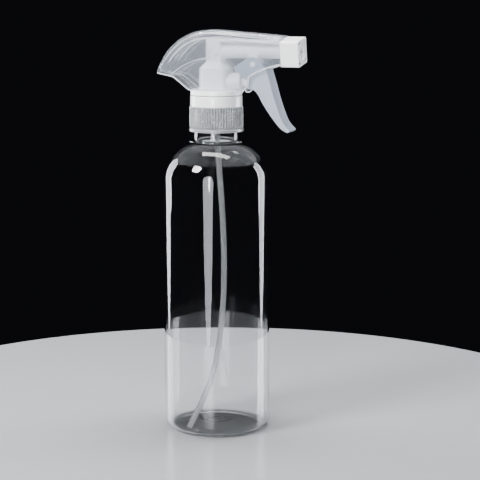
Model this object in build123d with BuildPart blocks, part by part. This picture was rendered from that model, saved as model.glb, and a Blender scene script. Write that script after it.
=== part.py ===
from build123d import *

import os
from math import asin, copysign, cos, degrees, pi, radians, sin, sqrt

# A clear round bottle with a screw-on trigger sprayer, in millimetres. +Z is up, +X is the way it sprays, and
# the origin is the centre of the ring that the bottle stands on.

# Bottle
body_diameter = 63.6
bottle_wall = 0.8
shoulder_z = 151.0  # top of the straight wall
shoulder_radius = 22.5
heel_radius = 6.3
standing_width = 1.2  # flat of the standing ring
push_up = 3.2  # how far the middle of the base stands off the ground
base_wall = 1.6  # thickness in the middle of the base
neck_flare = 0.95  # how much wider the dome ends than the neck
support_ring_reach = 2.85  # beyond the plain collar above it
support_ring_width = 1.3
support_ring_rise = 0.7  # gap between the dome's end and the ring
collar_height = 8.1
finish_height = 21.7  # top of the support ring to the rim

# 28 mm screw thread, 410 finish
thread_crest_diameter = 27.4
thread_depth = 1.15
finish_wall = 1.75  # between the bore and the thread's root
collar_inset = 0.05  # plain collar, from the thread's crest
thread_lead = 4.233
thread_turns = 1.5
thread_start_angle = -162
thread_foot = 2.0
thread_tip = 0.8
thread_above_collar = 3.75
thread_sink = 0.25  # how deep a ridge is rooted in its wall
thread_gap = 0.3  # between the two threads, each way
mating_foot = 1.8
mating_tip = 0.7

# Closure
closure_height = 21.2
closure_wall = 1.35
closure_roof = 1.55
closure_flange_reach = 0.85
closure_flange_height = 2.0
rib_count = 66
rib_height = 0.35
rib_top_band = 6.4  # plain band above the ribs

# Diameters that follow from the thread
thread_root_diameter = thread_crest_diameter - 2 * thread_depth
neck_bore = thread_root_diameter - 2 * finish_wall
neck_diameter = thread_crest_diameter - 2 * collar_inset
support_ring_diameter = neck_diameter + 2 * support_ring_reach
closure_bore = thread_crest_diameter + 2 * thread_gap
closure_diameter = closure_bore + 2 * closure_wall
closure_flange_diameter = closure_diameter + 2 * closure_flange_reach

# Stack on the rim
gasket_thickness = 1.2
gasket_gap = 0.4  # inside the closure
retainer_flange = 1.8
retainer_gap = 1.0  # inside the closure
retainer_boss_diameter = 17.0
retainer_boss_depth = 1.6  # below the flange, inside the gasket
fit_gap = 0.05  # running fits, each side
roof_play = 0.4  # above the closure's roof

# Pump body
deck_thickness = 2.6
deck_inset = 0.15  # from the closure's side
deck_diameter = closure_diameter - 2 * deck_inset
hub_diameter = 14.6  # passes through the closure's roof
hub_bore = 12.0
housing_length = 18.8
housing_corner = 5.0
housing_height = 12.8  # above the deck
riser_width = 9.6
riser_depth = 9.0
riser_height = 29.8
cone_height = 4.0
panel_width = 2.8
panel_gap = 1.2  # between the two panels of a side
panel_height = 6.8
panel_depth = 1.4
panel_rise = 17.6
barrel_rise = 23.1
barrel_diameter = 8.4
barrel_bore = 4.8
barrel_length = 41.5
feed_bore = 3.0  # narrow run of the barrel and riser
nose_diameter = 7.2
nose_length = 7.0
nose_groove = 0.4
nose_groove_width = 1.2
nose_groove_inset = 2.0
saddle_rise = 28.6
saddle_thickness = 1.2
web_thickness = 1.6
cylinder_lift = 0.2  # of the cylinder above the deck
cylinder_bore = 8.0
cylinder_wall = 1.1
cylinder_back = 4.4  # inner end of the bore
cylinder_mouth = 16.5
vent_bore = 0.9

# Valves
ball_diameter = 4.0
ball_chamber_height = 6.8
ball_lift = 1.2
ball_rest_gap = 0.02
spigot_diameter = 6.2
seat_rise = 2.8  # ball seat above the deck
seat_bore = 2.8
port_bore = 1.4
port_rise = 8.1
valve_seat_x = 30.0
valve_lift = 0.8
core_back_x = 37.0
core_front_x = 49.0
core_groove = 0.8
poppet_length = 2.0
stem_length = 1.6
stem_diameter = 1.6
outlet_wire = 0.3
outlet_spring_diameter = 2.4
outlet_spring_turns = 4

# Trigger
trigger_wall = 1.1
barrel_gap = 0.5  # between the barrel and the trigger's plates
pivot_x = 25.0
pivot_rise = 15.8
pin_diameter = 3.2
side_gap = 0.3  # between the trigger's plates and what they straddle
pad_x = 22.6  # rear face of the pad that pushes the piston
pad_thickness = 1.4
pad_height = 8.0
# Its side view, as (X, height above the deck): finger face, back edge, arms, and the crown over the pins
trigger_front = [(33.4, 12.6), (35.6, 5.6), (38.9, -5.6), (43.2, -16.4), (47.9, -22.1)]
trigger_back = [(46.4, -23.3), (42.2, -20.8), (37.3, -15.2), (31.7, -7.4), (28.1, -1.2), (25.2, 1.4)]
trigger_arm = [(22, 1.4), (21.4, 6.4), (14.2, 12.2), (13.6, 14.2), (20.6, 18.6)]
trigger_crown = [(20.6, 18.6), (25.6, 19.9), (29.6, 17.8)]
# The hollow behind the finger face, and how far it runs out behind the trigger
trigger_hollow = [(32.0, 12.0), (34.2, 5.2), (37.5, -5.9), (41.8, -16.8), (45.4, -21.6)]
hollow_reach = [(40, -30), (8, -4), (8, 26), (31, 26)]

# Piston
piston_back_x = 9.4
piston_rod_diameter = 6.4
piston_head_length = 5.0
nose_ball_radius = 3.0
seal_length = 2.2
seal_core_diameter = 6.0
spring_wire = 0.6
spring_diameter = 4.6  # over the middle of the wire
spring_turns = 5
spring_pocket = 2.0

# Shroud
shroud_width = 16.0
shroud_wall = 1.0
shroud_rail = 0.5  # extra thickness of the cheeks along the top
shroud_rail_drop = 4.6
shroud_edge = 1.8  # rounding along the top
shroud_edge_rise = 20.0  # only edges higher than this above the deck are rounded
shroud_front_x = 42.0
shroud_crown = (0, 35.3)  # highest point, as (X, height above the deck)
shroud_front_top = 32.3
# The tail's back, and the underside from the front to the tail
shroud_tail = [(-35.2, 10.2), (-28.8, 22.2), (-14.5, 32.9)]
shroud_underside = [
    (42, 15.7),
    (36.8, 14.4),
    (28.6, 11.4),
    (23.1, 8.2),
    (23, 3.4),
    (deck_diameter / 2 + 3.1, -1.6),
    (deck_diameter / 2 + 0.7, -1.6),
    (deck_diameter / 2 + 0.4, 0),
    (-14.5, 0),
    (-24.4, 7.5),
    (-34.7, 9.3),
]
tail_slope = 1.4  # how much faster the hollow leaves the tail's tip than its walls
front_slope = 1.07  # and how it follows the falling top at the front
hollow_below = -8  # well under the deck

# Nozzle
nozzle_width = 15.0
nozzle_length = 11.0
nozzle_wall = 1.1
nozzle_roll = 10  # how far the cap is turned at rest, degrees
nozzle_gap = 0.5  # behind the cap
nozzle_pocket = 2.4  # depth of the four corner pockets
nozzle_diaphragm = 1.5
ring_bite = 0.4  # how far the round seat runs into the cap's walls
nozzle_edge = 0.9
sleeve_wall = 1.3
insert_diameter = 11.6
insert_thickness = 2.8
orifice_diameter = 0.6

# Dip tube
tube_diameter = 3.5
tube_bore = 2.5
tube_grip = 2.6  # wall of the socket that holds it
socket_depth = 9.0
tube_heading = (-8, -25)  # the way its foot points, seen from above
tube_straight = 12.8  # straight run below the socket
# Its route: (distance along that heading, share of the straight run's height), down to the corner of the base
tube_route = [(0, 1), (-6.6, 0.7045), (-7.2, 0.4432), (-0.6, 0.233), (10.4, 0.1165)]
tube_foot_inset = 5.6  # foot's middle from the body's side
tube_foot_z = 3.5

# Heights and radii that follow from the sizes above
gasket_diameter = closure_bore - 2 * gasket_gap
retainer_flange_diameter = closure_bore - 2 * retainer_gap
cylinder_rise = cylinder_bore / 2 + cylinder_wall + cylinder_lift
body_radius = body_diameter / 2
dome_centre = body_radius - shoulder_radius
dome_end = neck_diameter / 2 + neck_flare
dome_end_z = shoulder_z + sqrt(shoulder_radius**2 - (dome_end - dome_centre) ** 2)
ring_z = dome_end_z + support_ring_rise
ring_top = ring_z + support_ring_width
collar_top = ring_top + collar_height
rim_z = ring_top + finish_height
thread_start_z = collar_top + thread_above_collar
gasket_top = rim_z + gasket_thickness
retainer_top = gasket_top + retainer_flange
roof_z = retainer_top + fit_gap
closure_top = roof_z + closure_roof
closure_z = closure_top - closure_height
deck_z = closure_top + roof_play + deck_thickness
cylinder_z = deck_z + cylinder_rise
pivot_z = deck_z + pivot_rise
barrel_z = deck_z + barrel_rise
seat_z = deck_z + seat_rise
nose_x = barrel_length + nose_length
housing_width = shroud_width - 2 * shroud_wall - 2 * side_gap
saddle_width = shroud_width - 2 * (shroud_wall + shroud_rail) - roof_play
trigger_width = barrel_diameter + 2 * barrel_gap + 2 * trigger_wall

# Planes that the sprayer's profiles are drawn on: its side view, and cross-sections of its level bores
side = Plane(origin=(0, 0, deck_z), x_dir=(1, 0, 0), z_dir=(0, -1, 0))


def level_plane(x):
    """The plane square to the spray direction at x, centred on the barrel's axis."""
    return Plane(origin=(x, 0, barrel_z), x_dir=(0, 1, 0), z_dir=(1, 0, 0))


def cylinder_plane(x):
    """The same, centred on the piston's axis."""
    return Plane(origin=(x, 0, cylinder_z), x_dir=(0, 1, 0), z_dir=(1, 0, 0))


def thread_ridge(wall_r, crest_r, foot, tip, start_z):
    """A helical ridge on a round wall: foot and tip are its widths along the neck."""
    sunk_r = wall_r + copysign(thread_sink, wall_r - crest_r)
    with BuildPart() as ridge:
        with BuildLine():
            Helix(thread_lead, thread_turns * thread_lead, wall_r, center=(0, 0, start_z))
        with BuildSketch(Plane.XZ):
            with BuildLine():
                Polyline(
                    (sunk_r, start_z - foot / 2),
                    (crest_r, start_z - tip / 2),
                    (crest_r, start_z + tip / 2),
                    (sunk_r, start_z + foot / 2),
                    close=True,
                )
            make_face()
        sweep(is_frenet=True)
    return ridge.part.rotate(Axis.Z, thread_start_angle)


def coil(wire, middle_diameter, turns, start_x, end_x, height):
    """A compression spring along X, its end turns stopping half a wire inside start_x and end_x."""
    length = end_x - start_x - wire
    with BuildPart() as spring:
        with BuildLine():
            Helix(length / turns, length, middle_diameter / 2)
        with BuildSketch(Plane.XZ):
            with Locations((middle_diameter / 2, 0)):
                Circle(wire / 2)
        sweep(is_frenet=True)
    return spring.part.rotate(Axis.Y, 90).translate((start_x + wire / 2, 0, height))


def write(part, name):
    part.label = name
    export_step(part, f"parts/{name}.step")


os.makedirs("parts", exist_ok=True)

# ---- Bottle: blown in one piece, with a thicker base and neck ----
thread_root = thread_root_diameter / 2
thread_crest = thread_crest_diameter / 2
neck_thread = thread_ridge(thread_root, thread_crest, thread_foot, thread_tip, thread_start_z)
ring_inner = body_radius - heel_radius - standing_width
base_arc = (ring_inner**2 + push_up**2) / (2 * push_up)
base_arc_mid = push_up - base_arc + sqrt(base_arc**2 - ring_inner**2 / 4)
base_rise = push_up + base_wall - bottle_wall
inner_arc = (ring_inner**2 + base_rise**2) / (2 * base_rise)
inner_arc_mid = bottle_wall + base_rise - inner_arc + sqrt(inner_arc**2 - ring_inner**2 / 4)
dome_turn = 90 - degrees(asin((dome_end - dome_centre) / shoulder_radius))
inner_shoulder = shoulder_radius - bottle_wall
bore_r = neck_bore / 2
inner_turn = 90 - degrees(asin((bore_r - dome_centre) / inner_shoulder))

with BuildPart() as bottle:
    with BuildSketch(Plane.XZ):
        with BuildLine():
            ThreePointArc((0, push_up), (ring_inner / 2, base_arc_mid), (ring_inner, 0))
            Line((ring_inner, 0), (ring_inner + standing_width, 0))
            heel = JernArc((ring_inner + standing_width, 0), (1, 0), heel_radius, 90)
            wall = Line(heel @ 1, (body_radius, shoulder_z))
            dome = JernArc(wall @ 1, (0, 1), shoulder_radius, dome_turn)
            Polyline(
                dome @ 1,
                (neck_diameter / 2 + neck_flare / 2, ring_z),
                (support_ring_diameter / 2, ring_z + support_ring_width / 4),
                (support_ring_diameter / 2, ring_top - support_ring_width / 4),
                (neck_diameter / 2, ring_top + support_ring_width / 4),
                (neck_diameter / 2, collar_top),
                (thread_root, collar_top + neck_diameter / 2 - thread_root),
                (thread_root, rim_z - fit_gap),
                (thread_root - fit_gap, rim_z),
                (bore_r, rim_z),
            )
            inner_dome = JernArc(
                (body_radius - bottle_wall, shoulder_z), (0, 1), inner_shoulder, inner_turn
            )
            Line((bore_r, rim_z), inner_dome @ 1)
            inner_heel = JernArc(
                (ring_inner + standing_width, bottle_wall), (1, 0), heel_radius - bottle_wall, 90
            )
            Line(inner_heel @ 1, inner_dome @ 0)
            Line((ring_inner, bottle_wall), inner_heel @ 0)
            ThreePointArc(
                (ring_inner, bottle_wall),
                (ring_inner / 2, inner_arc_mid),
                (0, bottle_wall + base_rise),
            )
            Line((0, bottle_wall + base_rise), (0, push_up))
        make_face()
    revolve(axis=Axis.Z)
    add(neck_thread)
write(bottle.part, "bottle")

# ---- Neck gasket: foam washer ----
with BuildPart() as neck_gasket:
    with BuildSketch(Plane.XY.offset(rim_z)):
        Circle(gasket_diameter / 2)
        Circle(retainer_boss_diameter / 2, mode=Mode.SUBTRACT)
    extrude(amount=gasket_thickness)
write(neck_gasket.part, "neck_gasket")

# ---- Closure: ribbed screw collar, free to turn under the deck ----
closure_r = closure_diameter / 2
closure_inner = closure_bore / 2
mating_crest = thread_root + thread_gap + thread_gap / 3
# the closure's ridge lies just under the neck's ridge, which holds it down
mating_drop = (thread_foot + mating_tip) / 2 + thread_gap - thread_sink
closure_thread = thread_ridge(
    closure_inner, mating_crest, mating_foot, mating_tip, thread_start_z - mating_drop
)
with BuildPart() as closure:
    with BuildSketch(Plane.XY.offset(closure_z)):
        Circle(closure_r)
    extrude(amount=closure_height)
    fillet(closure.edges().group_by(Axis.Z)[-1], closure_roof / 3)
    with BuildSketch(Plane.XY.offset(closure_z + closure_flange_height / 2)):
        with BuildLine():
            Polyline(
                *[
                    (
                        (closure_r + rib_height * (n % 2)) * cos(n * pi / rib_count),
                        (closure_r + rib_height * (n % 2)) * sin(n * pi / rib_count),
                    )
                    for n in range(2 * rib_count)
                ],
                close=True,
            )
        make_face()
    extrude(amount=closure_height - rib_top_band - closure_flange_height / 2)
    with BuildSketch(Plane.XY.offset(closure_z)):
        Circle(closure_flange_diameter / 2)
    extrude(amount=closure_flange_height)
    with BuildSketch(Plane.XY.offset(closure_z)):
        Circle(closure_inner)
    extrude(amount=roof_z - closure_z, mode=Mode.SUBTRACT)
    with BuildSketch(Plane.XY.offset(roof_z)):
        Circle(hub_diameter / 2 + thread_gap)
    extrude(amount=closure_roof, mode=Mode.SUBTRACT)
    add(closure_thread)
write(closure.part, "closure")

# ---- Tube retainer: plug pushed up into the pump body from below ----
socket_r = tube_diameter / 2 + tube_grip / 2
vent_foot_x = (hub_bore + hub_diameter) / 4
with BuildPart() as tube_retainer:
    with BuildSketch(Plane.XY.offset(gasket_top)):
        Circle(retainer_flange_diameter / 2)
    extrude(amount=retainer_flange)
    with BuildSketch(Plane.XY.offset(gasket_top - retainer_boss_depth)):
        Circle(retainer_boss_diameter / 2)
    extrude(amount=retainer_boss_depth)
    with BuildSketch(Plane.XY.offset(gasket_top - socket_depth)):
        Circle(socket_r)
    extrude(amount=socket_depth)
    with BuildSketch(Plane.XY.offset(retainer_top)):
        Circle(hub_bore / 2)
    extrude(amount=deck_z - retainer_top)
    with BuildSketch(Plane.XY.offset(deck_z)):
        Circle(spigot_diameter / 2)
    extrude(amount=seat_rise)
    with BuildSketch(Plane.XY.offset(gasket_top - socket_depth)):
        Circle(tube_diameter / 2)
    extrude(amount=deck_z - gasket_top + socket_depth - fit_gap, mode=Mode.SUBTRACT)
    with BuildSketch(Plane.XY.offset(retainer_top)):
        Circle(seat_bore / 2)
    extrude(amount=seat_z - retainer_top, mode=Mode.SUBTRACT)
    with BuildSketch(Plane.XY.offset(gasket_top - retainer_boss_depth)):
        with Locations((vent_foot_x, 0)):
            Circle(vent_bore / 2)
    extrude(amount=retainer_top - gasket_top + retainer_boss_depth, mode=Mode.SUBTRACT)
write(tube_retainer.part, "tube_retainer")

# ---- Inlet ball: rests on the retainer's seat ----
seat_depth = sqrt(ball_diameter**2 - seat_bore**2) / 2
with BuildPart() as inlet_ball:
    with Locations((0, 0, seat_z + seat_depth + ball_rest_gap)):
        Sphere(ball_diameter / 2)
write(inlet_ball.part, "inlet_ball")

# ---- Pump body: one moulding with the deck, riser, barrel, cylinder and trigger pins ----
trigger_inner = trigger_width / 2 - trigger_wall
bracket_half = trigger_inner - side_gap
chamber_top = deck_z + ball_chamber_height
panel_x = (panel_width + panel_gap) / 2
with BuildPart() as pump_body:
    with BuildSketch(Plane.XY.offset(deck_z - deck_thickness)):
        Circle(deck_diameter / 2)
    extrude(amount=deck_thickness)
    with BuildSketch(Plane.XY.offset(retainer_top)):
        Circle(hub_diameter / 2)
    extrude(amount=deck_z - retainer_top)
    with BuildSketch(Plane.XY.offset(deck_z)):
        RectangleRounded(housing_length, housing_width, housing_corner)
    extrude(amount=housing_height)
    with BuildSketch(Plane.XY.offset(deck_z + housing_height)):
        RectangleRounded(housing_length, housing_width, housing_corner)
    with BuildSketch(Plane.XY.offset(deck_z + housing_height + cone_height)):
        RectangleRounded(riser_width, riser_depth, 1)
    loft()
    with BuildSketch(Plane.XY.offset(deck_z + housing_height)):
        RectangleRounded(riser_width, riser_depth, 1)
    extrude(amount=riser_height - housing_height)
    with BuildSketch(Plane.XZ.offset(riser_depth / 2)):
        with Locations(*[(sx * panel_x, deck_z + panel_rise + panel_height / 2) for sx in (-1, 1)]):
            Rectangle(panel_width, panel_height)
    extrude(amount=-panel_depth, mode=Mode.SUBTRACT)
    with BuildSketch(Plane.XZ.offset(-riser_depth / 2)):
        with Locations(*[(sx * panel_x, deck_z + panel_rise + panel_height / 2) for sx in (-1, 1)]):
            Rectangle(panel_width, panel_height)
    extrude(amount=panel_depth, mode=Mode.SUBTRACT)
    with BuildSketch(level_plane(0)):
        Circle(barrel_diameter / 2)
    extrude(amount=barrel_length)
    with BuildSketch(level_plane(barrel_length)):
        Circle(nose_diameter / 2)
    extrude(amount=nose_length)
    # saddle under the shroud's top, on a web along the barrel
    with BuildSketch(Plane.XY.offset(deck_z + saddle_rise)):
        with Locations((barrel_length / 2, 0)):
            Rectangle(barrel_length, saddle_width)
    extrude(amount=saddle_thickness)
    with BuildSketch(Plane.XZ.offset(-web_thickness / 2)):
        with Locations((barrel_length / 2, (barrel_z + deck_z + saddle_rise) / 2)):
            Rectangle(barrel_length, deck_z + saddle_rise - barrel_z + saddle_thickness)
    extrude(amount=web_thickness)
    # piston cylinder, level, just above the deck
    with BuildSketch(cylinder_plane(0)):
        Circle(cylinder_bore / 2 + cylinder_wall)
    extrude(amount=cylinder_mouth)
    # bracket for the trigger, with its two pins
    with BuildSketch(Plane.XZ.offset(-bracket_half)):
        with BuildLine():
            Polyline(
                (pivot_x - pin_diameter, barrel_z),
                (pivot_x - pin_diameter, pivot_z),
                (pivot_x, pivot_z - pin_diameter),
                (pivot_x + pin_diameter, pivot_z),
                (pivot_x + pin_diameter, barrel_z),
                close=True,
            )
        make_face()
    extrude(amount=2 * bracket_half)
    with BuildSketch(Plane.XZ.offset(-trigger_width / 2)):
        with Locations((pivot_x, pivot_z)):
            Circle(pin_diameter / 2)
    extrude(amount=trigger_width)
    # bores
    with BuildSketch(Plane.XY.offset(retainer_top)):
        Circle(hub_bore / 2)
    extrude(amount=deck_z - retainer_top, mode=Mode.SUBTRACT)
    with BuildSketch(Plane.XY.offset(deck_z)):
        Circle(spigot_diameter / 2)
    extrude(amount=ball_chamber_height, mode=Mode.SUBTRACT)
    with BuildSketch(Plane.XY.offset(chamber_top)):
        Circle(feed_bore / 2)
    extrude(amount=barrel_z - chamber_top, mode=Mode.SUBTRACT)
    with BuildSketch(level_plane(0)):
        Circle(feed_bore / 2)
    extrude(amount=valve_seat_x, mode=Mode.SUBTRACT)
    with BuildSketch(level_plane(valve_seat_x)):
        Circle(barrel_bore / 2)
    extrude(amount=nose_x - valve_seat_x, mode=Mode.SUBTRACT)
    with BuildSketch(cylinder_plane(cylinder_back)):
        Circle(cylinder_bore / 2)
    extrude(amount=cylinder_mouth - cylinder_back, mode=Mode.SUBTRACT)
    with BuildSketch(Plane(origin=(0, 0, deck_z + port_rise), x_dir=(0, 1, 0), z_dir=(1, 0, 0))):
        Circle(port_bore / 2)
    extrude(amount=cylinder_back + port_bore, mode=Mode.SUBTRACT)
    # vent, from the cylinder to the neck
    vent_top = Vector(piston_back_x + seal_length + vent_bore, 0, cylinder_z - cylinder_bore / 2)
    vent_foot = Vector(vent_foot_x, 0, retainer_top)
    vent_way = (vent_top - vent_foot).normalized()
    with BuildSketch(Plane(origin=vent_foot - vent_way, x_dir=(0, 1, 0), z_dir=vent_way)):
        Circle(vent_bore / 2)
    extrude(amount=(vent_top - vent_foot).length + 2, mode=Mode.SUBTRACT)
    # groove that the nozzle cap snaps into
    with BuildSketch(level_plane(barrel_length + nose_groove_inset)):
        Circle(nose_diameter / 2)
        Circle(nose_diameter / 2 - nose_groove, mode=Mode.SUBTRACT)
    extrude(amount=nose_groove_width, mode=Mode.SUBTRACT)
write(pump_body.part, "pump_body")

# ---- Dip tube: straight in its socket, then a long lazy bend to the corner of the base ----
heading_length = sqrt(tube_heading[0] ** 2 + tube_heading[1] ** 2)
heading = (tube_heading[0] / heading_length, tube_heading[1] / heading_length)


def on_heading(out, height):
    return Vector(heading[0] * out, heading[1] * out, height)


straight_z = gasket_top - socket_depth - tube_straight
route = [Vector(0, 0, deck_z - 2 * fit_gap)]
route += [on_heading(out, share * straight_z) for out, share in tube_route]
route += [on_heading(body_radius - tube_foot_inset, tube_foot_z)]
runs = [(b - a).length for a, b in zip(route, route[1:])]
turns = [(b - a).get_angle(c - b) for a, b, c in zip(route, route[1:], route[2:])]
bend_share = 0.45
bends = [
    bend_share * min(before, after) / sin(radians(turn / 2)) * cos(radians(turn / 2))
    for before, after, turn in zip(runs, runs[1:], turns)
]
print("dip tube bends, mm:", [round(bend, 1) for bend in bends])
with BuildPart() as dip_tube:
    with BuildLine():
        FilletPolyline(*route, radius=bends)
    with BuildSketch(Plane(origin=route[0], z_dir=(0, 0, -1))):
        Circle(tube_diameter / 2)
        Circle(tube_bore / 2, mode=Mode.SUBTRACT)
    sweep()
write(dip_tube.part, "dip_tube")

# ---- Piston, its seal and its spring ----
piston_r = cylinder_bore / 2 - fit_gap
nose_centre_x = pad_x - nose_ball_radius - 2 * fit_gap
with BuildPart() as piston:
    with BuildSketch(cylinder_plane(piston_back_x)):
        Circle(seal_core_diameter / 2)
    extrude(amount=seal_length)
    with BuildSketch(cylinder_plane(piston_back_x + seal_length)):
        Circle(piston_r)
    extrude(amount=piston_head_length - seal_length)
    with BuildSketch(cylinder_plane(piston_back_x + seal_length)):
        Circle(nose_ball_radius)
    extrude(amount=nose_centre_x - piston_back_x - seal_length)
    with Locations((nose_centre_x, 0, cylinder_z)):
        Sphere(nose_ball_radius)
    with BuildSketch(cylinder_plane(piston_back_x)):
        Circle(spring_diameter / 2 + spring_wire / 2 + fit_gap)
    extrude(amount=spring_pocket, mode=Mode.SUBTRACT)
write(piston.part, "piston")

with BuildPart() as piston_seal:
    with BuildSketch(cylinder_plane(piston_back_x)):
        Circle(cylinder_bore / 2 - fit_gap / 2)
        Circle(seal_core_diameter / 2, mode=Mode.SUBTRACT)
    extrude(amount=seal_length)
write(piston_seal.part, "piston_seal")

return_spring = coil(
    spring_wire,
    spring_diameter,
    spring_turns,
    cylinder_back + fit_gap,
    piston_back_x + spring_pocket - fit_gap,
    cylinder_z,
)
write(return_spring, "return_spring")

# ---- Outlet valve: poppet on the barrel's inner step, held by a fine spring ----
valve_r = barrel_bore / 2 - 5 * fit_gap
with BuildPart() as outlet_valve:
    with BuildSketch(level_plane(valve_seat_x + ball_rest_gap)):
        Circle(valve_r)
    extrude(amount=poppet_length)
    with BuildSketch(level_plane(valve_seat_x + ball_rest_gap + poppet_length)):
        Circle(stem_diameter / 2)
    extrude(amount=stem_length)
write(outlet_valve.part, "outlet_valve")

outlet_spring = coil(
    outlet_wire,
    outlet_spring_diameter,
    outlet_spring_turns,
    valve_seat_x + poppet_length + 2 * fit_gap,
    core_back_x - fit_gap,
    barrel_z,
)
write(outlet_spring, "outlet_spring")

# ---- Swirl core: plug in the nose with three grooves along it ----
with BuildPart() as swirl_core:
    with BuildSketch(level_plane(core_back_x)):
        Circle(barrel_bore / 2)
        with PolarLocations(barrel_bore / 2, 3):
            Rectangle(core_groove, core_groove, mode=Mode.SUBTRACT)
    extrude(amount=core_front_x - core_back_x)
write(swirl_core.part, "swirl_core")

# ---- Trigger: U-section lever with a pad across it for the piston ----
with BuildPart() as trigger:
    with BuildSketch(side):
        with BuildLine():
            front = Spline(*trigger_front)
            back = Spline(*trigger_back)
            Line(front @ 1, back @ 0)
            Polyline(back @ 1, *trigger_arm)
            crown = ThreePointArc(*trigger_crown)
            Line(crown @ 1, front @ 0)
        make_face()
    extrude(amount=trigger_width / 2, both=True)
    with BuildSketch(side):
        with BuildLine():
            inner = Spline(*trigger_hollow)
            Polyline(inner @ 1, *hollow_reach, inner @ 0)
        make_face()
    extrude(amount=trigger_inner, both=True, mode=Mode.SUBTRACT)
    with BuildSketch(side):
        with Locations((pad_x + pad_thickness / 2, cylinder_rise)):
            Rectangle(pad_thickness, pad_height)
    extrude(amount=trigger_inner, both=True)
    with BuildSketch(side):
        with Locations((pivot_x, pivot_rise)):
            Circle(pin_diameter / 2 + fit_gap)
    extrude(amount=trigger_width, both=True, mode=Mode.SUBTRACT)
write(trigger.part, "trigger")

# ---- Shroud: thin cover with the duck tail, open underneath and at the front ----
def shroud_outline():
    """The cover's side view, as a closed line."""
    with BuildLine() as outline:
        tail = ThreePointArc(*shroud_tail)
        top = TangentArc(tail @ 1, shroud_crown, tangent=tail % 1)
        Polyline(top @ 1, (shroud_front_x, shroud_front_top), *shroud_underside, tail @ 0)
    return outline.line


cheek = shroud_width / 2
cavity_half = cheek - shroud_wall
with BuildPart() as shroud:
    with BuildSketch(side):
        make_face(shroud_outline().edges())
    extrude(amount=cheek, both=True)
    along_top = [
        edge
        for edge in shroud.edges()
        if abs(abs(edge.center().Y) - cheek) < fit_gap
        and edge.center().X < shroud_front_x - 1
        and edge.center().Z > deck_z + shroud_edge_rise
    ]
    fillet(along_top, shroud_edge)
    for half, inset in [(cavity_half - shroud_rail, shroud_wall), (cavity_half, shroud_rail_drop)]:
        with BuildSketch(side):
            make_face(shroud_outline().edges())
            offset(amount=-inset, mode=Mode.REPLACE, kind=Kind.INTERSECTION)
            hollow_tail_x = shroud_tail[0][0] + inset * tail_slope
            with BuildLine():
                Polyline(
                    (hollow_tail_x, shroud_tail[0][1] - roof_play + inset),
                    (shroud_front_x + inset, shroud_front_top - inset * front_slope),
                    (shroud_front_x + inset, hollow_below),
                    (hollow_tail_x, hollow_below),
                    close=True,
                )
            make_face()
        extrude(amount=half, both=True, mode=Mode.SUBTRACT)
write(shroud.part, "shroud")


# ---- Nozzle cap: square cap with a sleeve that snaps over the nose ----
def cap_plane(x):
    """As level_plane, but turned with the cap."""
    roll = radians(nozzle_roll)
    return Plane(origin=(x, 0, barrel_z), x_dir=(0, cos(roll), sin(roll)), z_dir=(1, 0, 0))


cap_x = shroud_front_x + nozzle_gap
cap_front_x = cap_x + nozzle_length
diaphragm_x = cap_front_x - nozzle_pocket - nozzle_diaphragm
cap_inner = nozzle_width - 2 * nozzle_wall
sleeve_r = nose_diameter / 2 + fit_gap
sleeve_x = cap_x + nozzle_gap
bead_x = barrel_length + nose_groove_inset + nose_groove_width / 4
with BuildPart() as nozzle_cap:
    with BuildSketch(cap_plane(cap_x)):
        RectangleRounded(nozzle_width, nozzle_width, nozzle_edge)
    extrude(amount=nozzle_length)
    chamfer(nozzle_cap.faces().sort_by(Axis.X)[0].edges(), nozzle_edge)
    with BuildSketch(cap_plane(cap_x)):
        Rectangle(cap_inner, cap_inner)
    extrude(amount=diaphragm_x - cap_x, mode=Mode.SUBTRACT)
    with BuildSketch(cap_plane(sleeve_x)):
        Circle(sleeve_r + sleeve_wall)
        Circle(sleeve_r, mode=Mode.SUBTRACT)
    extrude(amount=diaphragm_x - sleeve_x)
    with BuildSketch(cap_plane(bead_x)):
        Circle(sleeve_r + fit_gap)
        Circle(sleeve_r - nose_groove + fit_gap, mode=Mode.SUBTRACT)
    extrude(amount=nose_groove_width / 2)
    with BuildSketch(cap_plane(cap_front_x - nozzle_pocket)):
        Rectangle(cap_inner, cap_inner)
        Circle(cap_inner / 2 + ring_bite, mode=Mode.SUBTRACT)
    extrude(amount=nozzle_pocket, mode=Mode.SUBTRACT)
    with BuildSketch(cap_plane(cap_front_x - insert_thickness)):
        Circle(insert_diameter / 2)
    extrude(amount=insert_thickness, mode=Mode.SUBTRACT)
    with BuildSketch(cap_plane(diaphragm_x)):
        Circle(stem_diameter / 2)
    extrude(amount=nozzle_diaphragm, mode=Mode.SUBTRACT)
write(nozzle_cap.part, "nozzle_cap")

# ---- Orifice insert: disc pressed into the cap's front ----
with BuildPart() as orifice_insert:
    with BuildSketch(cap_plane(cap_front_x - insert_thickness)):
        Circle(insert_diameter / 2)
        Circle(orifice_diameter / 2, mode=Mode.SUBTRACT)
    extrude(amount=insert_thickness)
write(orifice_insert.part, "orifice_insert")
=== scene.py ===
import math

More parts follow.
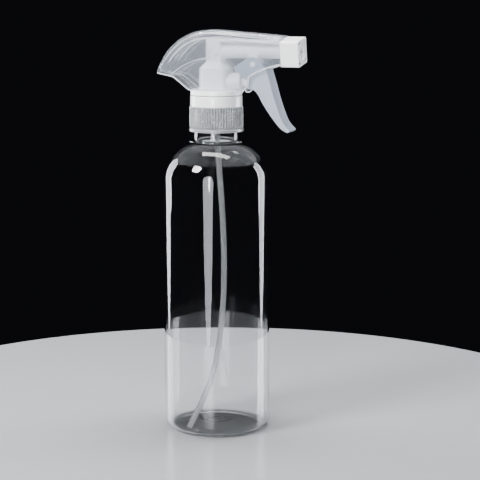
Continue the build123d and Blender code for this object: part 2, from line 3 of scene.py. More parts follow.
import bmesh
import bpy
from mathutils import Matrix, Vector


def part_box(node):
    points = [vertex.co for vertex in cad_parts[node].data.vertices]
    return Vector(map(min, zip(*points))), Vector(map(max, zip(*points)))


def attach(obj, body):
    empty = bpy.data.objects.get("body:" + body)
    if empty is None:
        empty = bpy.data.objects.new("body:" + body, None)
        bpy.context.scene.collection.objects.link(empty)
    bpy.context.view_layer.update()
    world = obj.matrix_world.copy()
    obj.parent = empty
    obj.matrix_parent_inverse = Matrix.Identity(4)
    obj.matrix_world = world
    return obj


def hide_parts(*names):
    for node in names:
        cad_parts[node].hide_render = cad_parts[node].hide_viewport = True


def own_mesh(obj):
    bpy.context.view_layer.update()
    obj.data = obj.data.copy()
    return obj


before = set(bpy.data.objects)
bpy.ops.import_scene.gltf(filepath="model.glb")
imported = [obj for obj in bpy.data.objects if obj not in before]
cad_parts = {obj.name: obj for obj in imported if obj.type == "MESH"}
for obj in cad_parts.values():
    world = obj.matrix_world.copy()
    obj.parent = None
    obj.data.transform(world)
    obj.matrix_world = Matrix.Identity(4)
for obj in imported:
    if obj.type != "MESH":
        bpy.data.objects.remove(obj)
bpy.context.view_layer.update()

# ---- Camera, floor and studio light ----
# The camera stands a little above the sprayer, in front and to the nozzle's side, and looks down
# the bottle, which stands on a plain pale round table top. Tall soft boxes in front and at both
# sides are mirrored in its wall, and reach below the table so that its lower part mirrors them too.
mm = 0.001
camera_turn = math.radians(22.0)
camera_away = 900.0 * mm
camera_height = 270.0 * mm
camera_dip = math.radians(9.82)
camera_yaw = math.radians(-0.891)
camera_data = bpy.data.cameras.new("camera")
camera_data.sensor_width = 36
camera_data.lens = 114.0
camera = bpy.data.objects.new("camera", camera_data)
bpy.context.scene.collection.objects.link(camera)
camera.location = (camera_away * math.sin(camera_turn), -camera_away * math.cos(camera_turn), camera_height)
camera.rotation_euler = (math.pi / 2 - camera_dip, 0, camera_turn + camera_yaw)
camera_data.clip_start = 0.01
camera_data.clip_end = 20
bpy.context.scene.camera = camera


def shader_of(material):
    return material.node_tree.nodes["Principled BSDF"]


def new_material(name, color, roughness, transmission=0.0, ior=1.5):
    """A fresh principled material, with the constants set on the shader itself."""
    material = bpy.data.materials.new(name)
    material.use_nodes = True
    shader = shader_of(material)
    shader.inputs["Base Color"].default_value = (*color, 1)
    shader.inputs["Roughness"].default_value = roughness
    shader.inputs["Transmission Weight"].default_value = transmission
    shader.inputs["IOR"].default_value = ior
    return material


def join(material, source, target):
    material.node_tree.links.new(source, target)


def graded(material, value, start, end, low=0.0, high=1.0):
    """A value that goes from low to high as the given one goes from start to end."""
    grade = material.node_tree.nodes.new("ShaderNodeMapRange")
    grade.inputs["From Min"].default_value = start
    grade.inputs["From Max"].default_value = end
    grade.inputs["To Min"].default_value = low
    grade.inputs["To Max"].default_value = high
    join(material, value, grade.inputs["Value"])
    return grade.outputs["Result"]


def noise_between(material, scale, low, high, detail=3.0, stretch=(1, 1, 1)):
    """A value that wanders between low and high over the surface; scale is in features per metre."""
    nodes = material.node_tree.nodes
    place = nodes.new("ShaderNodeTexCoord")
    mapping = nodes.new("ShaderNodeMapping")
    mapping.inputs["Scale"].default_value = stretch
    noise = nodes.new("ShaderNodeTexNoise")
    noise.inputs["Scale"].default_value = scale
    noise.inputs["Detail"].default_value = detail
    join(material, place.outputs["Object"], mapping.inputs["Vector"])
    join(material, mapping.outputs["Vector"], noise.inputs["Vector"])
    return graded(material, noise.outputs["Fac"], 0, 1, low, high)


def add_bump(material, height, strength, distance):
    """Makes the surface uneven by height, without moving it."""
    bump = material.node_tree.nodes.new("ShaderNodeBump")
    bump.inputs["Strength"].default_value = strength
    bump.inputs["Distance"].default_value = distance
    join(material, height, bump.inputs["Height"])
    join(material, bump.outputs["Normal"], shader_of(material).inputs["Normal"])


def object_from(name, mesh, material, smooth_angle=40):
    """Links a mesh as an object with one material, smooth but for edges sharper than smooth_angle."""
    thing = bpy.data.objects.new(name, mesh)
    bpy.context.scene.collection.objects.link(thing)
    mesh.materials.append(material)
    mesh.polygons.foreach_set("use_smooth", [True] * len(mesh.polygons))
    mesh.set_sharp_from_angle(angle=math.radians(smooth_angle))
    return thing


def area_light(name, place, aim, width, height, watts, color=(1, 1, 1), shape="RECTANGLE"):
    """A soft box at place, facing aim. It lights and is mirrored, but isn't seen, even through glass."""
    data = bpy.data.lights.new(name, "AREA")
    data.shape = shape
    data.size = width
    data.size_y = height
    data.energy = watts
    data.color = color
    lamp = bpy.data.objects.new(name, data)
    bpy.context.scene.collection.objects.link(lamp)
    lamp.location = place
    lamp.rotation_mode = "QUATERNION"
    lamp.rotation_quaternion = (Vector(aim) - Vector(place)).to_track_quat("-Z", "Y")
    lamp.visible_camera = False
    lamp.visible_transmission = False
    return lamp


floor_radius = 0.26
floor_material = new_material("pale_table", (0.30, 0.31, 0.32), 0.2)
add_bump(floor_material, noise_between(floor_material, 60, 0, 1), 0.05, 0.0005)
floor_mesh = bpy.data.meshes.new("floor")
build = bmesh.new()
bmesh.ops.create_circle(build, cap_ends=True, radius=floor_radius, segments=256)
build.to_mesh(floor_mesh)
build.free()
floor = object_from("floor", floor_mesh, floor_material)
floor.location.z = -0.2 * mm


def around(turn, away, height):
    """A place given by its compass turn from straight in front of the bottle, in degrees."""
    return (away * math.sin(math.radians(turn)), -away * math.cos(math.radians(turn)), height)


soft_white = (0.90, 0.92, 1.0)
area_light("front_wide", around(4, 0.85, 0.16), (0, 0, 0.12), 0.34, 0.64, 7.0, soft_white, "ELLIPSE")
area_light("front_core", around(7, 0.83, 0.24), (0, 0, 0.17), 0.03, 0.40, 5.0)
area_light("left_wide", around(-104, 0.60, 0.20), (0, 0, 0.15), 0.26, 0.56, 4.5, soft_white, "ELLIPSE")
area_light("left_core", around(-92, 0.58, 0.24), (0, 0, 0.16), 0.03, 0.40, 1.1)
area_light("right_wide", around(134, 0.60, 0.20), (0, 0, 0.15), 0.26, 0.56, 4.5, soft_white, "ELLIPSE")
area_light("right_core", around(124, 0.58, 0.24), (0, 0, 0.16), 0.03, 0.40, 1.1)
area_light("key_box", around(-30, 0.62, 0.62), (0, 0, 0.21), 0.22, 0.22, 13.0)
area_light("top_box", (0.0, 0.10, 0.62), (0, 0, 0.2), 0.36, 0.30, 8.0)

world = bpy.data.worlds.new("studio")
bpy.context.scene.world = world
world.use_nodes = True
world.node_tree.nodes["Background"].inputs["Color"].default_value = (0.004, 0.004, 0.005, 1)
world.node_tree.nodes["Background"].inputs["Strength"].default_value = 1.0

# ---- Bottle ----
# Clear PET, stretched and blown in a mould: an even thin wall, a thick neck with a moulded screw
# thread and support ring, and a pushed-up base with faint mould rings round its gate mark.
body_r = (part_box("bottle")[1].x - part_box("bottle")[0].x) / 2
rim_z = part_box("bottle")[1].z
wall = 0.8 * mm
shoulder_z = 151.0 * mm
shoulder_r = 22.5 * mm
heel_r = 6.3 * mm
standing_r = body_r - heel_r
ring_inner_r = standing_r - 1.2 * mm
push_up = 3.2 * mm
base_wall = 1.1 * mm
base_ring_radii = (5.0 * mm, 7.5 * mm, 9.3 * mm)
base_ring_rise = 0.25 * mm
gate_nub = 0.9 * mm
neck_r = 13.65 * mm
neck_bore_r = 10.8 * mm
support_r = 16.5 * mm
support_top = rim_z - 21.7 * mm
support_low = support_top - 1.3 * mm
collar_top = support_top + 8.1 * mm
thread_root_r = 12.55 * mm
thread_crest_r = 13.7 * mm
thread_lead = 4.233 * mm
thread_turns = 1.5
thread_start = math.radians(-162)
thread_low = collar_top + 3.75 * mm
bottle_around = 192


def arc(centre, radius, start, end, count):
    """Points (r, z) on a circle from start to end, in degrees from +r towards +z."""
    return [
        (
            centre[0] + radius * math.cos(math.radians(start + (end - start) * n / count)),
            centre[1] + radius * math.sin(math.radians(start + (end - start) * n / count)),
        )
        for n in range(count + 1)
    ]


def object_of(build, name, material, smooth_angle):
    """Links a bmesh whose faces are all made, with its normals outwards, and lets go of it."""
    bmesh.ops.recalc_face_normals(build, faces=build.faces)
    mesh = bpy.data.meshes.new(name)
    build.to_mesh(mesh)
    build.free()
    return object_from(name, mesh, material, smooth_angle)


def lathe(name, profile, around, material, closed=False, smooth_angle=40, warp=None):
    """Turns a profile of (r, z) points about Z. warp may move each point (r, z, angle)."""
    build = bmesh.new()
    rings = []
    for r, z in profile:
        if r < 1e-7:
            rings.append([build.verts.new((0, 0, z))] * around)
            continue
        ring = []
        for n in range(around):
            turn = 2 * math.pi * n / around
            rr, zz = warp(r, z, turn) if warp else (r, z)
            ring.append(build.verts.new((rr * math.cos(turn), rr * math.sin(turn), zz)))
        rings.append(ring)
    pairs = list(zip(rings, rings[1:]))
    if closed:
        pairs.append((rings[-1], rings[0]))
    for low, high in pairs:
        for n in range(around):
            corners = [low[n], low[(n + 1) % around], high[(n + 1) % around], high[n]]
            corners = [c for i, c in enumerate(corners) if c not in corners[:i]]
            if len(corners) > 2:
                build.faces.new(corners)
    return object_of(build, name, material, smooth_angle)


def thread_height(z, turn, low, foot, tip):
    """How far a thread that starts at low stands at (z, turn): 0 at its root, 1 at its crest.

    Its foot and tip are its widths there, and its ends fade in over a share of a turn."""
    fade = 0.06
    best = 0.0
    for lap in range(-1, int(thread_turns) + 2):
        along = (turn - thread_start) / (2 * math.pi) + lap
        if not 0 <= along <= thread_turns:
            continue
        ends = min(1, along / fade, (thread_turns - along) / fade)
        off = abs(z - (low + thread_lead * along))
        best = max(best, ends * max(0, min(1, (foot / 2 - off) / (foot / 2 - tip / 2))))
    return best


pet = new_material("clear_pet", (0.985, 0.993, 1.0), 0.02, 1.0, 1.45)
shader_of(pet).inputs["Specular IOR Level"].default_value = 0.6
add_bump(pet, noise_between(pet, 34, 0, 1, 1.5, (1, 1, 0.35)), 0.05, 0.002)

dome_centre = body_r - shoulder_r
dome_end = neck_r + 0.95 * mm
dome_top_angle = math.degrees(math.acos((dome_end - dome_centre) / shoulder_r))
inner_top_angle = math.degrees(math.acos((neck_bore_r + 1.2 * mm - dome_centre) / (shoulder_r - wall)))


def base_shape(r, lift):
    """Height of the push-up at radius r, with its faint mould rings and the gate nub."""
    bowl = push_up * (1 - (r / ring_inner_r) ** 2)
    for ring in base_ring_radii:
        bowl += base_ring_rise * math.exp(-(((r - ring) / (0.35 * mm)) ** 2))
    bowl -= gate_nub * math.exp(-((r / (1.3 * mm)) ** 2))
    return max(bowl, 0) + lift


base_steps = 90
body_steps = 24
heel_steps = 20
dome_steps = 40
base_radii = [ring_inner_r * n / base_steps for n in range(base_steps)]
outside = [(r, base_shape(r, 0)) for r in base_radii]
outside += [(ring_inner_r, 0.0)]
outside += arc((standing_r, heel_r), heel_r, -90, 0, heel_steps)
outside += [(body_r, heel_r + (shoulder_z - heel_r) * n / body_steps) for n in range(1, body_steps)]
outside += arc((dome_centre, shoulder_z), shoulder_r, 0, dome_top_angle, dome_steps)
outside += [
    (neck_r + 0.4 * mm, support_low - 0.1 * mm),
    (neck_r + 0.7 * mm, support_low),
    (support_r - 0.35 * mm, support_low + 0.2 * mm),
    (support_r, support_low + 0.45 * mm),
    (support_r, support_top - 0.45 * mm),
    (support_r - 0.35 * mm, support_top - 0.15 * mm),
    (neck_r + 0.5 * mm, support_top + 0.1 * mm),
    (neck_r, support_top + 0.5 * mm),
    (neck_r, collar_top),
    (thread_root_r, collar_top + 0.9 * mm),
]
thread_steps = 90
outside += [
    (thread_root_r, collar_top + 0.9 * mm + (rim_z - collar_top - 1.4 * mm) * n / thread_steps)
    for n in range(1, thread_steps + 1)
]
outside += [(thread_root_r - 0.15 * mm, rim_z - 0.15 * mm), (thread_root_r - 0.5 * mm, rim_z)]
inside = [(neck_bore_r + 0.3 * mm, rim_z), (neck_bore_r, rim_z - 0.4 * mm)]
inside += [(neck_bore_r, rim_z - (rim_z - support_low + 0.2 * mm) * n / 12) for n in range(1, 13)]
inside += arc((dome_centre, shoulder_z), shoulder_r - wall, inner_top_angle, 0, dome_steps)
inside += [
    (body_r - wall, shoulder_z - (shoulder_z - heel_r) * n / body_steps) for n in range(1, body_steps)
]
inside += arc((standing_r, heel_r), heel_r - wall, 0, -90, heel_steps)
for n in range(1, base_steps + 1):
    r = ring_inner_r * (1 - n / base_steps)
    inside.append((r, base_shape(r, base_wall)))


def neck_thread(r, z, turn):
    """The screw thread on the finish above the collar."""
    if abs(r - thread_root_r) > 1e-6 or z < collar_top + 1 * mm:
        return r, z
    rise = thread_height(z, turn, thread_low, 2.0 * mm, 0.8 * mm)
    return r + (thread_crest_r - thread_root_r) * rise, z


bottle = lathe("bottle_blown", outside + inside, bottle_around, pet, smooth_angle=50, warp=neck_thread)
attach(bottle, "bottle")
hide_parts("bottle")

# ---- Dip tube ----
# Extruded polyethylene tube, pushed into a socket under the pump and bent by its own spring to
# the front corner of the base. Its square-cut foot stays just clear of the bottom.
deck_z = rim_z + 7.6 * mm
tube_r = 1.75 * mm
tube_bore_r = 1.25 * mm
tube_heading = Vector((-8, -25, 0)).normalized()
socket_z = deck_z - 0.1 * mm
straight_z = rim_z - 20.6 * mm
tube_route = [(0, 1), (-6.6, 0.7045), (-7.2, 0.4432), (-0.6, 0.233), (10.4, 0.1165)]
tube_foot_out = 26.2
tube_foot_z = 3.5 * mm


def along(path):
    """Each point of a path, with two directions square to the path that don't twist on the way."""
    normal = None
    for n, point in enumerate(path):
        ahead = (path[min(n + 1, len(path) - 1)] - path[max(n - 1, 0)]).normalized()
        if normal is None:
            normal = ahead.orthogonal().normalized()
        normal = (normal - ahead * normal.dot(ahead)).normalized()
        yield point, normal, ahead.cross(normal)


def skin(build, low, high):
    """A band of faces between two equal rings of vertices."""
    for n in range(len(low)):
        m = (n + 1) % len(low)
        build.faces.new((low[n], low[m], high[m], high[n]))


def tube_wall(name, path, outer, inner, material):
    """A tube with a real bore and flat end rims."""
    build = bmesh.new()
    rings = []
    for point, normal, across in along(path):
        pair = []
        for section in (outer, inner):
            pair.append([build.verts.new(point + normal * a + across * b) for a, b in section])
        rings.append(pair)
    for low, high in zip(rings, rings[1:]):
        for side in (0, 1):
            skin(build, low[side], high[side])
    for end in (rings[0], rings[-1]):
        skin(build, end[0], end[1])
    return object_of(build, name, material, 50)


def round_section(radius, count):
    return [
        (radius * math.cos(2 * math.pi * n / count), radius * math.sin(2 * math.pi * n / count))
        for n in range(count)
    ]


def smooth_path(points, order, steps):
    """Points along a NURBS spline that has the given control points."""
    data = bpy.data.curves.new("path", "CURVE")
    data.dimensions = "3D"
    spline = data.splines.new("NURBS")
    spline.points.add(len(points) - 1)
    for point, place in zip(spline.points, points):
        point.co = (*place, 1)
    spline.order_u = order
    spline.use_endpoint_u = True
    spline.resolution_u = steps
    holder = bpy.data.objects.new("path", data)
    line = bpy.data.meshes.new_from_object(holder)
    places = [vertex.co.copy() for vertex in line.vertices]
    bpy.data.objects.remove(holder)
    bpy.data.meshes.remove(line)
    return places


def milky(name, color, transmission, roughness, glow=0.0, grain=220, grain_depth=0.0003):
    """Natural polyolefin: clears as transmission rises, and glows white inside as glow rises."""
    material = new_material(name, color, roughness, transmission, 1.49)
    shader = shader_of(material)
    shader.inputs["Subsurface Weight"].default_value = glow
    shader.inputs["Subsurface Radius"].default_value = (1.0, 1.0, 1.0)
    shader.inputs["Subsurface Scale"].default_value = 0.0015
    unevenness = noise_between(material, 90, roughness * 0.8, roughness * 1.2)
    join(material, unevenness, shader.inputs["Roughness"])
    add_bump(material, noise_between(material, grain, 0, 1), 0.05, grain_depth)
    return material


def on_heading(out, height):
    """A point in the tube's upright plane, out millimetres from the axis towards the front."""
    return tube_heading * out * mm + Vector((0, 0, height))


tube_pe = milky("tube_pe", (0.95, 0.965, 0.975), 0.80, 0.16, 0.15)
tube_points = [Vector((0, 0, socket_z))]
tube_points += [on_heading(out, share * straight_z) for out, share in tube_route]
tube_points += [on_heading(tube_foot_out, tube_foot_z)]
tube_path = smooth_path(tube_points, 3, 24)
tube_sides = 40
tube_outer = round_section(tube_r, tube_sides)
tube_inner = round_section(tube_bore_r, tube_sides)
tube = tube_wall("tube_extruded", tube_path, tube_outer, tube_inner, tube_pe)
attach(tube, "head")
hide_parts("dip_tube")

# ---- Gasket, tube retainer and valves ----
# A foam washer seals the rim; the retainer is a moulded plug that snaps into the pump and grips
# the dip tube. Above it sit a glass ball, the piston with its soft seal, and the outlet poppet.
white_pp = milky("white_pp", (0.96, 0.965, 0.965), 0.12, 0.30, 0.5, 700)
foam = new_material("foam", (0.9, 0.9, 0.88), 0.85)
add_bump(foam, noise_between(foam, 2600, 0, 1, 6), 0.4, 0.0004)
soft_pe = milky("soft_pe", (0.88, 0.89, 0.9), 0.35, 0.38, 0.4, 500)
ball_glass = new_material("ball_glass", (0.86, 0.93, 0.9), 0.03, 1.0, 1.52)
add_bump(ball_glass, noise_between(ball_glass, 300, 0, 1), 0.03, 0.0002)


def carry(node, material, round_edges=0.0, smooth_angle=35):
    """Gives a CAD piece its material, and eases its sharp edges by round_edges."""
    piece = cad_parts[node]
    piece.data.materials.clear()
    piece.data.materials.append(material)
    if round_edges:
        bevel = piece.modifiers.new("eased_edges", "BEVEL")
        bevel.limit_method = "ANGLE"
        bevel.angle_limit = math.radians(smooth_angle)
        bevel.width = round_edges
        bevel.segments = 2
        bevel.use_clamp_overlap = True
        bevel.harden_normals = False
    return piece


carry("neck_gasket", foam)
carry("tube_retainer", white_pp)
carry("inlet_ball", ball_glass)
carry("piston", white_pp)
carry("piston_seal", soft_pe)
carry("outlet_valve", soft_pe)
carry("swirl_core", white_pp)

# ---- Springs ----
# Two stainless compression coils along the barrel's direction, dropped in before the parts that
# close on them: one brings the piston and trigger back, the fine one seats the outlet valve.
points_per_turn = 32
steel = new_material("steel", (0.62, 0.62, 0.63), 0.28)
shader_of(steel).inputs["Metallic"].default_value = 1.0
join(steel, noise_between(steel, 800, 0.22, 0.36, 4, (1, 1, 12)), shader_of(steel).inputs["Roughness"])


def sweep(name, path, section, material):
    """Carries a closed section of (across, up) points along a path, and closes its ends."""
    build = bmesh.new()
    rings = [
        [build.verts.new(point + normal * a + across * b) for a, b in section]
        for point, normal, across in along(path)
    ]
    for low, high in zip(rings, rings[1:]):
        skin(build, low, high)
    build.faces.new(list(reversed(rings[0])))
    build.faces.new(rings[-1])
    return object_of(build, name, material, 50)


def coil(name, node, wire, turns):
    """A coil along X that fills the CAD spring's box, with the given wire and number of turns."""
    low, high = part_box(node)
    middle = (low + high) / 2
    reach = (high.z - low.z - wire) / 2
    length = high.x - low.x - wire
    count = points_per_turn * turns
    path = []
    for n in range(count + 1):
        turn = 2 * math.pi * n / points_per_turn
        path.append(Vector((
            low.x + wire / 2 + length * n / count,
            middle.y + reach * math.sin(turn),
            middle.z + reach * math.cos(turn),
        )))
    spring = sweep(name, path, round_section(wire / 2, 12), steel)
    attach(spring, "head")
    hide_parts(node)
    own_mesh(spring)


coil("return_coil", "return_spring", 0.6 * mm, 5)
coil("outlet_coil", "outlet_spring", 0.3 * mm, 4)

# ---- Closure ----
# Moulded polypropylene screw collar: fine upright grip ribs under a plain band, a wider foot, and
# the mating thread inside. It hangs loosely under the pump's deck and turns on its own.
closure_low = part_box("closure")[0].z
closure_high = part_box("closure")[1].z
closure_r = 15.35 * mm
closure_foot_r = 16.2 * mm
closure_inner_r = 14.0 * mm
rib_count = 60
closure_around = 528
rib_rise = 0.6 * mm
rib_low = closure_low + 2.2 * mm
rib_high = closure_high - 6.4 * mm
# thickness shows: the top, with its roof and the seals behind it, looks solid white. The rib crests are
# painted white and the valleys and the bore grey: partly the thicker plastic at the crests, partly a
# painted highlight on the crests and painted shade in the valleys and the bore
milky_pp = milky("milky_pp", (0.90, 0.92, 0.94), 0.80, 0.12, 0.3, 160, 0.0001)
whereabouts = milky_pp.node_tree.nodes.new("ShaderNodeTexCoord")
axes = milky_pp.node_tree.nodes.new("ShaderNodeSeparateXYZ")
flat_point = milky_pp.node_tree.nodes.new("ShaderNodeCombineXYZ")
reach = milky_pp.node_tree.nodes.new("ShaderNodeVectorMath")
reach.operation = "LENGTH"
join(milky_pp, whereabouts.outputs["Object"], axes.inputs["Vector"])
join(milky_pp, axes.outputs["X"], flat_point.inputs["X"])
join(milky_pp, axes.outputs["Y"], flat_point.inputs["Y"])
join(milky_pp, flat_point.outputs["Vector"], reach.inputs[0])
clearness = graded(milky_pp, axes.outputs["Z"], rib_high - 0.4 * mm, rib_high + 0.6 * mm, 0.80, 0.22)
join(milky_pp, clearness, shader_of(milky_pp).inputs["Transmission Weight"])
# painted highlight on the rib crests, partly for their thicker plastic; the grey valleys and bore are
# painted shade
crest_thickness_and_highlight = graded(milky_pp, reach.outputs["Value"], closure_r + 0.1 * rib_rise, closure_r + 0.8 * rib_rise)
plain = graded(milky_pp, axes.outputs["Z"], rib_high - 0.4 * mm, rib_high + 0.1 * mm)
white_top_and_crest_highlight = milky_pp.node_tree.nodes.new("ShaderNodeMath")
white_top_and_crest_highlight.operation = "MAXIMUM"
valley_shade_to_white_ramp = milky_pp.node_tree.nodes.new("ShaderNodeValToRGB")
valley_shade_to_white_ramp.color_ramp.elements[0].color = (0.42, 0.44, 0.46, 1)
valley_shade_to_white_ramp.color_ramp.elements[1].color = (0.97, 0.98, 0.98, 1)
join(milky_pp, crest_thickness_and_highlight, white_top_and_crest_highlight.inputs[0])
join(milky_pp, plain, white_top_and_crest_highlight.inputs[1])
join(milky_pp, white_top_and_crest_highlight.outputs["Value"], valley_shade_to_white_ramp.inputs["Fac"])
join(milky_pp, valley_shade_to_white_ramp.outputs["Color"], shader_of(milky_pp).inputs["Base Color"])


def closure_ribs(r, z, turn):
    """Grip ribs outside, mating thread inside."""
    if abs(r - closure_r) < 1e-6 and rib_low - 1e-5 < z < rib_high + 1e-5:
        wave = 0.5 + 0.5 * math.cos(turn * rib_count)
        fade = max(0.0, min(1.0, (z - rib_low) / (0.5 * mm), (rib_high - z) / (0.6 * mm)))
        return r + rib_rise * fade * wave**1.5, z
    if abs(r - closure_inner_r) < 1e-6 and z < closure_high - 3 * mm:
        low = thread_low - 1.4 * mm
        rise = thread_height(z, turn, low, 1.8 * mm, 0.7 * mm)
        return r - 1.05 * mm * rise, z
    return r, z


def rise_line(r, low, high, count):
    """Points straight up at radius r, close enough together to carry ribs or a thread."""
    return [(r, low + (high - low) * n / count) for n in range(count + 1)]


closure_profile = [
    (closure_inner_r + 0.3 * mm, closure_low),
    (closure_foot_r - 0.35 * mm, closure_low),
    (closure_foot_r - 0.1 * mm, closure_low + 0.1 * mm),
    (closure_foot_r, closure_low + 0.35 * mm),
    (closure_foot_r, closure_low + 1.55 * mm),
    (closure_foot_r - 0.15 * mm, closure_low + 1.85 * mm),
    (closure_foot_r - 0.45 * mm, closure_low + 2.0 * mm),
    (closure_r + 0.1 * mm, closure_low + 2.05 * mm),
]
closure_profile += rise_line(closure_r, rib_low, rib_high, 14)
closure_profile += [
    (closure_r + 0.02 * mm, rib_high + 0.1 * mm),
    (closure_r + 0.02 * mm, closure_high - 0.7 * mm),
]
closure_profile += arc((closure_r - 0.58 * mm, closure_high - 0.6 * mm), 0.6 * mm, 15, 90, 5)
closure_profile += [
    (8.2 * mm, closure_high),
    (7.7 * mm, closure_high - 0.15 * mm),
    (7.6 * mm, closure_high - 0.5 * mm),
    (7.6 * mm, closure_high - 1.55 * mm),
    (closure_inner_r - 0.4 * mm, closure_high - 1.55 * mm),
    (closure_inner_r - 0.1 * mm, closure_high - 1.7 * mm),
]
closure_bore = rise_line(closure_inner_r, closure_low + 0.3 * mm, closure_high - 2.1 * mm, 72)
closure_profile += list(reversed(closure_bore))
closure = lathe("closure_moulded", closure_profile, closure_around, milky_pp, True, 60, closure_ribs)
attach(closure, "closure")
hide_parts("closure")

# ---- Pump body ----
# One polypropylene moulding: deck, housing, square riser, barrel, piston cylinder and pins. The
# thick parts look white through the cover; their edges are eased as a mould leaves them.
body_pp = milky("body_pp", (0.99, 0.99, 0.985), 0.12, 0.30, 0.7, 300)
carry("pump_body", body_pp, 0.18 * mm)

# ---- Shroud ----
# Thin polypropylene cover that snaps over the pump body: a duck-tail back and flat cheeks. Beads along
# every free edge, rails under its top and a low arched rib in the tail are whiter lines sunk mostly in
# the wall: painted highlight for the bright edges and folds of the thin cover.
shroud_half = 8.0 * mm
shroud_wall = 1.0 * mm
shroud_round = 1.8 * mm
shroud_front = 42.0
shroud_tail = [(-35.2, 10.2), (-28.8, 22.2), (-14.5, 32.9)]
shroud_crown = (0.0, 35.3)
shroud_front_top = 32.3
shroud_lip = 42.3
shroud_under = [
    (-34.7, 9.3), (-24.4, 7.5), (-14.5, 0), (15.6, 0), (15.9, -1.6), (18.3, -1.6),
    (23.0, 3.4), (23.1, 8.2), (28.6, 11.4), (36.8, 14.4), (shroud_lip, 15.8),
]


def circle_through(p, q, r):
    """Centre of the circle through three points."""
    (ax, ay), (bx, by), (cx, cy) = p, q, r
    d = 2 * (ax * (by - cy) + bx * (cy - ay) + cx * (ay - by))
    ux = ((ax**2 + ay**2) * (by - cy) + (bx**2 + by**2) * (cy - ay) + (cx**2 + cy**2) * (ay - by)) / d
    uy = ((ax**2 + ay**2) * (cx - bx) + (bx**2 + by**2) * (ax - cx) + (cx**2 + cy**2) * (bx - ax)) / d
    return ux, uy


def bearing(centre, point):
    """The angle in degrees at which point stands, seen from centre."""
    return math.degrees(math.atan2(point[1] - centre[1], point[0] - centre[0]))


def along_polyline(points, x):
    """Height of a line through points, at x."""
    for (x0, z0), (x1, z1) in zip(points, points[1:]):
        if x0 <= x <= x1:
            return z0 + (z1 - z0) * (x - x0) / max(x1 - x0, 1e-9)
    return points[0][1] if x < points[0][0] else points[-1][1]


def in_side_view(x, z, y=0.0):
    """A point given in millimetres in the sprayer's side view, heights from the deck."""
    return Vector((x * mm, y, deck_z + z * mm))


tail_centre = circle_through(*shroud_tail)
tail_r = math.dist(tail_centre, shroud_tail[0])
tail_from = bearing(tail_centre, shroud_tail[0])
tail_to = bearing(tail_centre, shroud_tail[2])
shroud_top = arc(tail_centre, tail_r, tail_from, tail_to, 40)
crown_lead = (5.0 * math.cos(math.radians(tail_to - 90)), 5.0 * math.sin(math.radians(tail_to - 90)))
crown_points = [
    Vector((shroud_tail[2][0], shroud_tail[2][1], 0)),
    Vector((shroud_tail[2][0] + crown_lead[0], shroud_tail[2][1] + crown_lead[1], 0)),
    Vector((shroud_crown[0] - 5.0, shroud_crown[1] + 0.1, 0)),
    Vector((shroud_crown[0], shroud_crown[1], 0)),
]
for part in range(1, 13):
    t = part / 12
    spot = (
        crown_points[0] * (1 - t) ** 3
        + crown_points[1] * 3 * t * (1 - t) ** 2
        + crown_points[2] * 3 * t**2 * (1 - t)
        + crown_points[3] * t**3
    )
    shroud_top.append((spot.x, spot.y))
fall = (shroud_crown[1] - shroud_front_top) / (shroud_front - shroud_crown[0])
lean = shroud_round / mm * math.sin(math.atan(fall))
columns = {float(n) for n in range(1, 42)} | {x + lean for x, z in shroud_under if x > 2} | {shroud_front}
shroud_top += [(x, shroud_crown[1] - fall * x) for x in sorted(columns) if x <= shroud_front]
shroud_top += [(shroud_lip, shroud_front_top)]


def inward(line, n):
    """Unit normal of the top line at point n, towards the inside."""
    x0, z0 = line[max(n - 1, 0)]
    x1, z1 = line[min(n + 1, len(line) - 1)]
    length = math.hypot(x1 - x0, z1 - z0)
    return (z1 - z0) / length, -(x1 - x0) / length


round_steps = 7
cheek_rows = 12
roof_rows = 6
build = bmesh.new()
strips = []
for n, (x, z) in enumerate(shroud_top):
    nx, nz = inward(shroud_top, n)
    inset = shroud_round / mm
    qx, qz = x + nx * inset, z + nz * inset
    under = min(along_polyline(shroud_under, qx), qz - 0.02)
    half = []
    for row in range(cheek_rows):
        half.append((qx, under + (qz - under) * row / cheek_rows, shroud_half))
    for step in range(round_steps + 1):
        turn = math.radians(90 * step / round_steps)
        drop = inset * (1 - math.sin(turn))
        half.append((x + nx * drop, z + nz * drop, shroud_half - shroud_round * (1 - math.cos(turn))))
    flat = shroud_half - shroud_round
    middle = [(x, z, flat * (1 - 2 * row / roof_rows)) for row in range(1, roof_rows)]
    far = [(px, pz, -py) for px, pz, py in reversed(half)]
    strips.append([build.verts.new(in_side_view(px, pz, py)) for px, pz, py in half + middle + far])
for left, right in zip(strips, strips[1:]):
    for n in range(len(left) - 1):
        build.faces.new((left[n], right[n], right[n + 1], left[n + 1]))
shroud_pp = milky("shroud_pp", (0.80, 0.86, 0.95), 0.90, 0.14, 0.3, 60, 0.0001)
shader_of(shroud_pp).inputs["Alpha"].default_value = 0.5
shroud = object_of(build, "shroud_moulded", shroud_pp, 35)
thicken = shroud.modifiers.new("wall", "SOLIDIFY")
thicken.thickness = shroud_wall
thicken.offset = -1
thicken.use_even_offset = True
thicken.use_rim = True


def inset_path(line, distance, y, start=0.0, end=1.0):
    """The top line moved inwards, as points on the cheek at y."""
    points = []
    for n in range(int(start * len(line)), int(end * len(line))):
        (x, z), (nx, nz) = line[n], inward(line, n)
        points.append(in_side_view(x + nx * distance, z + nz * distance, y))
    return points


def rounded(points, reach):
    """A polyline whose inner corners are cut back by reach and rounded."""
    result = [points[0]]
    for before, corner, after in zip(points, points[1:], points[2:]):
        into = corner - before
        out = after - corner
        a = corner - into.normalized() * min(reach, into.length / 2)
        b = corner + out.normalized() * min(reach, out.length / 2)
        for step in range(5):
            t = step / 4
            result.append(a * (1 - t) ** 2 + corner * 2 * t * (1 - t) + b * t**2)
    result.append(points[-1])
    return result


